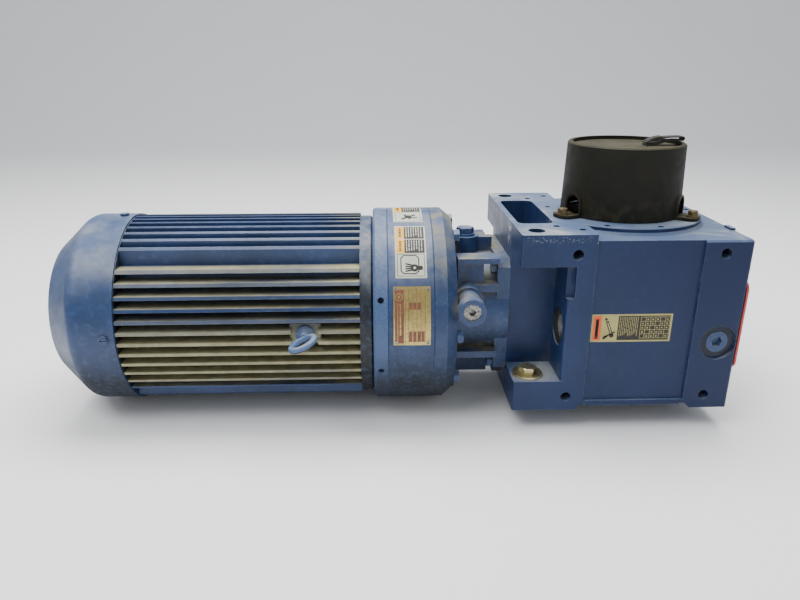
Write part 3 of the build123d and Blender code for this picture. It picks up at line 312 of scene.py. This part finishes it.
def moulded_black(name, ribs=False):
    """Dull olive-black plastic, dusty on top; the lid has a coarse diagonal weave."""
    g = Graph(name)
    up = g.step(g.axis(g.normal, "Z"), 0.3, 0.9)
    tone = g.mix(g.step(g.noise(10.0, 4.0), 0.3, 0.7), (0.0045, 0.0043, 0.0026), (0.0095, 0.0088, 0.0050))
    dusty = g.product(up, g.step(g.noise(30.0, 5.0), 0.3, 0.7), 0.55)
    low = g.step(g.axis(g.place, "Z"), COVER_LOW.z + 45 * MM, COVER_LOW.z, (0.0, 0.20))
    dusty = g.math("MAXIMUM", dusty, g.product(low, g.step(g.noise(70.0, 5.0), 0.4, 0.7)))
    tone = g.mix(dusty, tone, (0.095, 0.083, 0.038))
    normal = g.bump(g.noise(500.0, 3.0), 0.1 * MM)
    if ribs:
        turned = g.node("Mapping", {"Vector": g.place, "Rotation": (0, 0, math.radians(38))}).outputs[0]
        wave = g.node("TexWave", {"Vector": turned, "Scale": 60.0, "Distortion": 1.5, "Detail": 2.0,
                                  "Detail Scale": 2.0}, bands_direction="X").outputs["Fac"]
        normal = g.bump(wave, 0.8 * MM, 0.9, normal)
        tone = g.mix(g.step(wave, 0.4, 0.9, (0.0, 0.5)), tone, (0.10, 0.088, 0.040))
    rough = g.step(g.noise(60.0, 4.0), 0.2, 0.8, (0.50, 0.66))
    g.set(Base_Color=tone, Roughness=rough, Normal=normal, Specular_IOR_Level=0.22)
    return g.material


def metal(name, tone, dark, rough=0.3, lines=None, stain=0.0, edge_highlight=None):
    """Turned, ground or plated metal: tool lines, uneven polish, a little staining and an optional painted
    highlight along the edges.
    """
    g = Graph(name)
    grain = g.noise(300.0, 3.0, stretch=lines) if lines else g.noise(300.0, 3.0)
    colour = g.mix(g.step(grain, 0.3, 0.7), dark, tone)
    if stain:
        spots = g.product(g.step(g.noise(45.0, 6.0, 0.7), 0.45, 0.7), stain)
        colour = g.mix(spots, colour, (0.20, 0.13, 0.06))
    if edge_highlight:
        # painted highlight: a light colour along every edge
        colour = g.mix(g.product(g.edge(0.8 * MM), 0.7), colour, edge_highlight)
    spread = g.step(g.noise(90.0, 4.0), 0.2, 0.8, (rough - 0.08, rough + 0.12))
    g.set(Base_Color=colour, Metallic=1.0, Roughness=spread, Normal=g.bump(grain, 0.04 * MM))
    return g.material


def plain(name, tone, dark, rough, scale=80.0, depth=0.08):
    """Rubber, hard plastic and the like: mottled colour and a fine grain."""
    g = Graph(name)
    colour = g.mix(g.step(g.noise(scale, 4.0), 0.3, 0.7), dark, tone)
    spread = g.step(g.noise(scale * 1.7, 3.0), 0.2, 0.8, (rough - 0.08, rough + 0.08))
    g.set(Base_Color=colour, Roughness=spread, Normal=g.bump(g.noise(600.0, 3.0), depth * MM))
    return g.material


def webbing():
    g = Graph("webbing")
    warp = g.node("TexWave", {"Vector": g.place, "Scale": 260.0, "Distortion": 0.3}, bands_direction="Y")
    weft = g.node("TexWave", {"Vector": g.place, "Scale": 200.0, "Distortion": 0.3}, bands_direction="X")
    weave = g.math("MAXIMUM", warp.outputs["Fac"], weft.outputs["Fac"])
    tone = g.mix(weave, (0.008, 0.008, 0.006), (0.030, 0.028, 0.020))
    g.set(Base_Color=tone, Roughness=0.8, Normal=g.bump(weave, 0.35 * MM))
    return g.material


def sight_pane():
    g = Graph("sight_pane")
    haze = g.step(g.noise(90.0, 4.0), 0.3, 0.7)
    tone = g.mix(haze, (0.10, 0.11, 0.10), (0.30, 0.31, 0.28))
    g.set(Base_Color=tone, Roughness=g.blend(haze, 0.08, 0.2), Coat_Weight=0.6)
    return g.material


MATERIALS = {
    "fins": paint_fins(),
    "housing": paint_housing(),
    "cowl": paint("paint_cowl", grain=0.15, pits=0.3, top_dust=0.30, wear=0.25, gloss=0.32),
    "flange": paint("paint_flange", grain=0.30, pits=0.5, top_dust=0.45, wear=0.55),
    "rough_cast": paint("paint_rough_cast", grain=1.0, pits=1.6, top_dust=0.45, wear=0.5),
    "shield": paint("paint_shield", grain=0.8, pits=1.0, top_dust=0.7, base=(0.006, 0.009, 0.014), wear=0.1),
    "adapter": paint("paint_adapter", grain=1.2, pits=1.8, top_dust=0.5, wear=0.5,
                     base=(0.045, 0.088, 0.200), speckle=0.25),
    "neck": paint("paint_neck", grain=1.0, pits=1.2, top_dust=0.9, gap_dust=0.7, wear=0.6),
    "fastener": paint("paint_fastener", grain=0.3, pits=0.2, top_dust=0.6, wear=0.9),
    # the eye's heavy edge wear is partly worn paint, partly painted highlight
    "eye": paint("paint_eye", grain=0.3, pits=0.3, top_dust=0.5, wear=1.0, base=BLUE_LIGHT, speckle=0.3),
    "cover": moulded_black("cover_black"),
    "lid": moulded_black("lid_black", ribs=True),
    "webbing": webbing(),
    "steel": metal("turned_steel", (0.52, 0.52, 0.53), (0.34, 0.34, 0.36), 0.3, lines=(1, 1, 12)),
    "gear": metal("gear_steel", (0.40, 0.40, 0.42), (0.22, 0.22, 0.25), 0.28, stain=0.15,
                  edge_highlight=(0.7, 0.7, 0.72)),
    "bearing": metal("bearing_steel", (0.70, 0.70, 0.72), (0.55, 0.55, 0.58), 0.14),
    "zinc_yellow": metal("zinc_yellow", (0.66, 0.60, 0.36), (0.50, 0.44, 0.24), 0.38, stain=0.75,
                         edge_highlight=(0.80, 0.76, 0.55)),
    "dusty_bolt": metal("dusty_bolt", (0.26, 0.20, 0.10), (0.12, 0.10, 0.06), 0.55, stain=0.6),
    # dark zinc whose light edges are painted highlight
    "bright_zinc": metal("bright_zinc", (0.30, 0.30, 0.29), (0.10, 0.10, 0.10), 0.34, stain=0.4,
                         edge_highlight=(0.80, 0.80, 0.77)),
    "copper": metal("copper_winding", (0.55, 0.24, 0.10), (0.35, 0.13, 0.05), 0.35, lines=(8, 1, 1)),
    "lamination": metal("laminations", (0.33, 0.33, 0.34), (0.16, 0.16, 0.17), 0.45, lines=(30, 1, 1)),
    "aluminium": metal("cast_aluminium", (0.66, 0.67, 0.68), (0.50, 0.51, 0.52), 0.42),
    "rubber": plain("rubber", (0.020, 0.020, 0.019), (0.012, 0.012, 0.012), 0.62),
    "red": plain("red_plastic", (0.50, 0.055, 0.045), (0.32, 0.03, 0.03), 0.42, 30.0),
    "brown": plain("thermoset", (0.10, 0.055, 0.035), (0.06, 0.034, 0.022), 0.5),
    "pane": sight_pane(),
    "plate": metal("plate_metal", (0.55, 0.44, 0.17), (0.41, 0.31, 0.11), 0.38, stain=0.3),
    "plate_ink": plain("plate_ink", (0.20, 0.065, 0.032), (0.13, 0.045, 0.025), 0.5, 200.0, 0.02),
    "cream": plain("label_cream", (0.40, 0.36, 0.13), (0.32, 0.28, 0.10), 0.5, 60.0, 0.02),
    "white": plain("label_white", (0.56, 0.56, 0.48), (0.46, 0.46, 0.39), 0.5, 60.0, 0.02),
    "orange": plain("label_orange", (0.80, 0.10, 0.004), (0.66, 0.07, 0.003), 0.5, 90.0, 0.02),
    "yellow": plain("label_yellow", (0.90, 0.46, 0.002), (0.74, 0.36, 0.002), 0.5, 90.0, 0.02),
    "ink": plain("label_ink", (0.016, 0.014, 0.008), (0.009, 0.008, 0.005), 0.55, 90.0, 0.02),
}

NODE_MATERIAL = {
    "motor_frame": "fins", "gear_housing": "housing", "housing_ears": "housing", "fan_cover": "cowl",
    "ring_gear_case": "flange", "motor_adapter": "adapter", "eye_bolt": "eye",
    "drive_end_shield": "shield", "fan_end_shield": "shield",
    "input_neck": "neck", "filler_tube": "neck", "shaft_cover": "cover", "cover_lid": "lid",
    "cover_strap": "webbing", "stator_core": "lamination", "rotor_core": "lamination",
    "stator_winding": "copper", "rotor_end_rings": "aluminium", "motor_shaft": "steel",
    "cooling_fan": "rubber", "terminal_block": "brown", "cable_gland": "rubber",
    "motor_bearing_inner_rings": "bearing", "motor_bearing_balls": "bearing",
    "neck_bearing_inner_rings": "bearing", "neck_bearing_balls": "bearing",
    "output_bearing_inner_rings": "bearing", "output_bearing_balls": "bearing",
    "bearing_outer_rings": "bearing", "cam_rollers_1": "bearing", "cam_rollers_2": "bearing",
    "ring_pins": "gear", "cycloid_disc_1": "gear", "cycloid_disc_2": "gear", "eccentric_cam": "gear",
    "carrier_pins": "gear", "bevel_gear": "gear", "bevel_pinion": "gear", "slow_shaft": "steel",
    "bearing_spacer": "steel", "pinion_nut": "steel", "output_shaft": "steel", "gear_key": "steel",
    "seal_carrier": "steel", "taper_bushing": "steel", "shaft_seals": "rubber", "nameplate": "plate",
    "filler_plug": "bright_zinc", "sight_ring": "rubber", "sight_glass": "pane",
    "ear_bolts": "zinc_yellow", "cover_bolts": "dusty_bolt", "edge_guard": "red",
    "end_shield_bolts": "steel", "bottom_cover": "rough_cast",
}


def dress_nodes():
    """Every CAD node takes its procedural material; a node not in the table is painted like a bolt."""
    for name, obj in NODES.items():
        obj.data.materials.clear()
        obj.data.materials.append(MATERIALS[NODE_MATERIAL.get(name, "fastener")])


# ---------------------------------------------------------------- printed labels
BAND = 3.0               # a patch on a round face is cut into bands this high, in mm
LABEL, FIELD, MARK, FINE = 0.15, 0.20, 0.24, 0.28     # how far the label and its layers of print stand out
DISC_CORNERS = 20
LINE_GAP = 1.1           # between the broken bars of one line, in mm


def clip(corners, level, sign):
    """Part of a polygon on one side of the line v = level."""
    kept = []
    for (u0, v0), (u1, v1) in zip(corners, corners[1:] + corners[:1]):
        inside, next_inside = sign * (v0 - level) >= 0, sign * (v1 - level) >= 0
        if inside:
            kept.append((u0, v0))
        if inside != next_inside:
            share = (level - v0) / (v1 - v0)
            kept.append((u0 + (u1 - u0) * share, level))
    return kept


class Print:
    """A thin label built from raised patches; surface(u, v, lift) maps label millimetres to a point."""

    def __init__(self, name, surface):
        self.name, self.surface = name, surface
        self.mesh = bmesh.new()
        self.inks = []

    def shape(self, ink, corners, lift):
        """Closed thin patch with the given outline, from the surface up to lift."""
        if ink not in self.inks:
            self.inks.append(ink)
        low = min(v for _, v in corners)
        high = max(v for _, v in corners)
        for i in range(math.ceil((high - low) / BAND)):
            start, end = low + BAND * i, min(low + BAND * (i + 1), high)
            part = clip(clip(corners, start, 1), end, -1)
            if end - start < 0.01 or len(part) < 3:
                continue
            below = [self.mesh.verts.new(self.surface(u, v, 0.0)) for u, v in part]
            above = [self.mesh.verts.new(self.surface(u, v, lift)) for u, v in part]
            faces = [below[::-1], above]
            for k in range(len(part)):
                after = (k + 1) % len(part)
                faces.append([below[k], below[after], above[after], above[k]])
            for loop in faces:
                self.mesh.faces.new(loop).material_index = self.inks.index(ink)

    def patch(self, ink, u0, u1, v0, v1, lift=FIELD):
        self.shape(ink, [(u0, v0), (u1, v0), (u1, v1), (u0, v1)], lift)

    def disc(self, ink, u, v, radius, lift=MARK):
        angles = [math.tau * i / DISC_CORNERS for i in range(DISC_CORNERS)]
        self.shape(ink, [(u + radius * math.cos(a), v + radius * math.sin(a)) for a in angles], lift)

    def bar(self, ink, u0, v0, u1, v1, width, lift=MARK):
        """Straight bar between two points."""
        length = math.hypot(u1 - u0, v1 - v0)
        du, dv = (v0 - v1) / length * width / 2, (u1 - u0) / length * width / 2
        corners = [(u0 - du, v0 - dv), (u1 - du, v1 - dv), (u1 + du, v1 + dv), (u0 + du, v0 + dv)]
        self.shape(ink, corners, lift)

    def frame(self, ink, u0, u1, v0, v1, width, corner, lift=MARK):
        """Outline of a box with cut corners."""
        points = [(u0 + corner, v0), (u1 - corner, v0), (u1, v0 + corner), (u1, v1 - corner),
                  (u1 - corner, v1), (u0 + corner, v1), (u0, v1 - corner), (u0, v0 + corner)]
        for (ua, va), (ub, vb) in zip(points, points[1:] + points[:1]):
            self.bar(ink, ua, va, ub, vb, width, lift)

    def lines(self, ink, u0, u1, v0, v1, count, share, cuts):
        """Broken bars that stand for lines of print, side by side along u."""
        pitch = (u1 - u0) / count
        for i in range(count):
            start = u0 + pitch * i
            top = v1
            for cut in cuts[i % len(cuts)]:
                length = (v1 - v0) * cut
                self.patch(ink, start, start + pitch * share, top - length, top, MARK)
                top -= length + LINE_GAP

    def finish(self, body):
        bmesh.ops.recalc_face_normals(self.mesh, faces=self.mesh.faces[:])
        data = bpy.data.meshes.new(self.name)
        self.mesh.to_mesh(data)
        self.mesh.free()
        for ink in self.inks:
            data.materials.append(MATERIALS[ink])
        obj = bpy.data.objects.new(self.name, data)
        bpy.context.scene.collection.objects.link(obj)
        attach(obj, body)
        return obj


WORDS = ((0.30, 0.18, 0.34), (0.16, 0.40, 0.24), (0.42, 0.14, 0.22), (0.22, 0.22, 0.30), (0.50, 0.20))


def on_ring(x_start, low_angle, radius=RING_R):
    """Surface of the ring-gear case: u runs along X, v round it from low_angle (from -Y, upwards)."""
    def point(u, v, lift):
        angle = math.radians(low_angle) + v * MM / radius
        reach = radius + lift * MM
        return Vector((x_start + u * MM, -reach * math.cos(angle), AXIS_Z + reach * math.sin(angle)))
    return point


def on_panel(x_start, z_start):
    def point(u, v, lift):
        return Vector((x_start + u * MM, PANEL_Y - lift * MM, z_start + v * MM))
    return point


def arc_length(low_angle, high_angle):
    return math.radians(high_angle - low_angle) * RING_R / MM


def front_label():
    """Orange band, cream field with a plain lever, dark field with broken bars and an empty table."""
    width, height = 115.0, 42.0
    label = Print("front_label", on_panel(-73.5 * MM, 106.0 * MM))
    label.patch("cream", 0, width, 0, height, LABEL)
    label.patch("orange", 2.5, 14.0, 2.5, height - 2.5)
    label.patch("ink", 6.0, 10.5, 5.0, height - 7.0, MARK)
    label.lines("orange", 7.0, 10.0, 6.0, height - 8.0, 1, 0.8, ((0.10, 0.12, 0.10, 0.12, 0.10, 0.12),))
    # lever: two pivots, an arm and a foot
    label.disc("ink", 20.5, 34.5, 2.0)
    label.bar("ink", 22.0, 31.5, 30.0, 11.0, 4.2)
    label.bar("cream", 23.0, 29.5, 29.2, 13.0, 1.4, FINE)
    label.disc("ink", 30.0, 10.0, 3.4)
    label.bar("ink", 18.5, 7.0, 34.5, 15.5, 2.2)
    label.bar("ink", 18.0, 4.5, 24.0, 9.5, 3.0)
    label.patch("ink", 38.0, width - 2.5, 2.5, height - 2.5)
    label.lines("cream", 40.0, 68.0, 4.5, height - 4.0, 11, 0.30, WORDS)
    columns, rows, left, low = 6, 5, 70.0, 5.0
    cell_u, cell_v = 6.9, 6.4
    for i in range(columns + 1):
        u = left + cell_u * i
        label.patch("cream", u, u + 0.6, low, low + rows * cell_v, MARK)
    for i in range(rows + 1):
        v = low + cell_v * i
        label.patch("cream", left, left + columns * cell_u, v, v + 0.6, FINE)
    for i in range(columns):
        for k in range(rows):
            if (i * 3 + k * 5) % 4:
                label.patch("cream", left + cell_u * i + 2.4, left + cell_u * i + 4.6,
                            low + cell_v * k + 2.2, low + cell_v * k + 4.2, MARK)
    return label.finish("frame")


def text_block(label, width, top, height):
    """Yellow band with a dark stripe, and a barred black field beside it."""
    label.patch("yellow", 2.0, 13.5, top - height, top)
    label.lines("ink", 6.0, 10.0, top - height + 3, top - 3, 1, 0.8, ((0.16, 0.14, 0.16, 0.12, 0.16),))
    label.patch("ink", 13.5, width - 2.0, top - height, top)
    label.lines("white", 16.0, width - 3.0, top - height + 1.5, top - 1.5, 7, 0.34, WORDS)


def side_ring_label():
    """Two text blocks over a framed field with a plain wheel and rods."""
    low, high = 32.5, 67.0
    width, height = 44.0, arc_length(low, high)
    label = Print("ring_label_side", on_ring(-349.5 * MM, low))
    label.patch("white", 0, width, 0, height, LABEL)
    text_block(label, width, height - 2.0, 25.0)
    text_block(label, width, height - 28.5, 23.5)
    label.frame("ink", 3.0, width - 3.0, 3.0, height - 54.0, 0.7, 0.1)
    label.frame("ink", 8.0, 33.0, 6.5, height - 56.0, 1.6, 4.0)
    label.disc("ink", 27.0, 15.0, 5.5)
    label.disc("white", 27.0, 15.0, 1.8, FINE)
    for i in range(4):
        label.bar("ink", 14.0, 10.0 + 3.8 * i, 26.0, 12.5 + 2.0 * i, 2.2)
    label.patch("ink", 31.0, 38.5, 12.0, 18.0, MARK)
    return label.finish("frame")


def top_ring_label():
    """One text block over a field with plain crossed rods."""
    low, high = 71.0, 99.0
    width, height = 43.0, arc_length(low, high)
    label = Print("ring_label_top", on_ring(-350.5 * MM, low))
    label.patch("white", 0, width, 0, height, LABEL)
    text_block(label, width, height - 1.5, 36.0)
    label.frame("ink", 3.0, width - 3.0, 2.5, height - 40.0, 0.7, 0.1)
    label.bar("ink", 12.0, 8.0, 33.0, 23.0, 4.0)
    label.bar("ink", 16.0, 24.0, 25.0, 9.0, 3.4)
    label.disc("ink", 22.0, 16.0, 5.0)
    label.bar("ink", 25.0, 12.0, 36.0, 14.0, 3.0)
    return label.finish("frame")


def plate_print():
    """Brown column with a plain roundel, rules, blocks and bright rivet heads on the nameplate."""
    low, high = -4.0, 28.0
    height = arc_length(low, high)
    label = Print("nameplate_print", on_ring(-353.0 * MM, low, RING_R + 0.8 * MM))
    label.patch("plate_ink", 2.0, 14.5, 3.0, height - 4.0, 0.08)
    label.disc("plate", 7.8, height - 14.5, 5.4, 0.12)
    label.disc("plate_ink", 7.8, height - 14.5, 4.2, 0.15)
    label.disc("plate", 7.8, height - 14.5, 2.0, 0.18)
    label.patch("plate", 5.4, 6.3, 6.0, height - 23.0, 0.12)
    label.lines("plate", 8.6, 12.6, 7.0, height - 24.0, 1, 0.5, ((0.16, 0.08, 0.22, 0.12, 0.18),))
    for u in (16.0, 20.5, 26.5, 32.5, 38.0, 44.0):
        label.patch("plate_ink", u, u + 0.5, 4.0, height - 3.5, 0.06)
    for u in (21.5, 27.5, 33.5):
        label.patch("plate_ink", u, u + 4.4, height - 32.0, height - 22.0, 0.10)
        label.patch("plate_ink", u, u + 4.4, 5.0, 21.0, 0.10)
    label.patch("plate_ink", 38.9, 43.4, 5.0, 21.0, 0.10)
    for u in (3.6, 48.4):
        for v in (4.0, height - 4.0):
            label.disc("bright_zinc", u, v, 2.3, 1.0)
    return label.finish("frame")


# ---------------------------------------------------------------- strap on the cover
def ribbon(name, path, half_width, thick, y_middle, lean=0.0):
    """Band swept along a path in X and Z, closed at both ends."""
    mesh = bmesh.new()
    rings = []
    for i, (x, z) in enumerate(path):
        x0, z0 = path[max(i - 1, 0)]
        x1, z1 = path[min(i + 1, len(path) - 1)]
        along = Vector((x1 - x0, 0.0, z1 - z0)).normalized()
        across = Vector((-along.z, 0.0, along.x)) * thick / 2
        middle = Vector((x, y_middle + lean * i, z))
        side = Vector((0.0, half_width, 0.0))
        ring = [middle - side - across, middle + side - across,
                middle + side + across, middle - side + across]
        rings.append([mesh.verts.new(point * MM) for point in ring])
    loops = [rings[0][::-1], rings[-1]]
    for one, two in zip(rings, rings[1:]):
        loops += [[one[k], one[(k + 1) % 4], two[(k + 1) % 4], two[k]] for k in range(4)]
    for loop in loops:
        mesh.faces.new(loop)
    bmesh.ops.recalc_face_normals(mesh, faces=mesh.faces[:])
    data = bpy.data.meshes.new(name)
    mesh.to_mesh(data)
    mesh.free()
    data.polygons.foreach_set("use_smooth", [True] * len(data.polygons))
    data.materials.append(MATERIALS["webbing"])
    obj = bpy.data.objects.new(name, data)
    bpy.context.scene.collection.objects.link(obj)
    rounded = obj.modifiers.new("edges", "BEVEL")
    rounded.width, rounded.segments, rounded.limit_method = 0.5 * MM, 2, "ANGLE"
    return obj


def arc_path(centre, radius, start, end, count=9):
    """Points on an arc in X and Z, angles in degrees."""
    angles = [math.radians(start + (end - start) * i / (count - 1)) for i in range(count)]
    return [(centre[0] + radius * math.cos(a), centre[1] + radius * math.sin(a)) for a in angles]


def build_strap():
    """Webbing folded over itself on the lid, its free loop lying over the rim."""
    lower = [(26.0, 365.2), (34.0, 365.6), (46.0, 367.0), (56.0, 370.4), (70.0, 371.8)]
    upper = [(52.0, 375.6), (44.0, 373.2), (34.0, 371.0), (25.5, 368.2)]
    path = lower + arc_path((80.0, 374.0), 2.6, -75, 90) + [(66.0, 376.4)] + upper
    strap = ribbon("strap_webbing", path, 9.0, 1.7, -3.0)
    flap = [(28.0, 369.8), (34.0, 373.2), (42.0, 375.4), (50.0, 376.8)]
    patch = ribbon("strap_flap", flap, 8.2, 1.7, -3.4, 0.4)
    for obj in (strap, patch):
        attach(obj, "frame")
        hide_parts("cover_strap")


# ---------------------------------------------------------------- stage, light and camera
def area_light(name, place, target, size, power, tint=(1.0, 1.0, 1.0)):
    light = bpy.data.lights.new(name, "AREA")
    light.shape = "RECTANGLE"
    light.size, light.size_y = size
    light.energy = power
    light.color = tint
    obj = bpy.data.objects.new(name, light)
    obj.location = place
    obj.rotation_euler = (Vector(target) - Vector(place)).to_track_quat("-Z", "Y").to_euler()
    bpy.context.scene.collection.objects.link(obj)


def build_stage():
    """Pale floor that curves up into a backdrop behind the object."""
    floor_z = CAD_BOX[0].z - 0.5 * MM
    front, back, top, half = -6.0, 3.0, 6.0, 8.0
    bend, steps = 1.5, 12
    profile = [(front, floor_z), (back, floor_z)]
    for i in range(1, steps + 1):
        angle = math.radians(90 * i / steps)
        profile.append((back + bend * math.sin(angle), floor_z + bend * (1 - math.cos(angle))))
    profile.append((back + bend, top))
    data = bpy.data.meshes.new("backdrop")
    verts = [(x, y, z) for y, z in profile for x in (-half, half)]
    faces = [(2 * i, 2 * i + 1, 2 * i + 3, 2 * i + 2) for i in range(len(profile) - 1)]
    data.from_pydata(verts, [], faces)
    data.polygons.foreach_set("use_smooth", [True] * len(faces))
    g = Graph("backdrop")
    tone = g.mix(g.noise(2.0, 2.0), (0.90, 0.90, 0.90), (0.93, 0.93, 0.93))
    g.set(Base_Color=tone, Roughness=0.9)
    data.materials.append(g.material)
    backdrop = bpy.data.objects.new("backdrop", data)
    bpy.context.scene.collection.objects.link(backdrop)


def build_light():
    world = bpy.data.worlds.new("studio")
    world.use_nodes = True
    sky = world.node_tree.nodes["Background"].inputs
    sky["Color"].default_value = (0.92, 0.95, 1.0, 1.0)
    sky["Strength"].default_value = 0.62
    bpy.context.scene.world = world
    target = (-0.36, 0.0, 0.12)
    area_light("key", (-1.5, -0.9, 2.3), target, (1.6, 1.0), 42.0)
    area_light("fill", (1.5, -1.9, 1.2), target, (1.6, 1.6), 5.0)
    area_light("top", (-0.3, 0.5, 2.3), target, (2.4, 1.4), 95.0)


def build_camera():
    look_down, turn = 19.93, -1.92       # degrees
    data = bpy.data.cameras.new("camera")
    data.lens, data.sensor_width = 30.36, 36.0
    data.clip_start, data.clip_end = 0.05, 50.0
    camera = bpy.data.objects.new("camera", data)
    camera.location = (-0.3732, -1.0184, 0.4901)
    camera.rotation_euler = (math.radians(90 - look_down), 0.0, math.radians(turn))
    bpy.context.scene.collection.objects.link(camera)
    bpy.context.scene.camera = camera


dress_nodes()
front_label()
side_ring_label()
top_ring_label()
plate_print()
build_strap()
build_stage()
build_light()
build_camera()
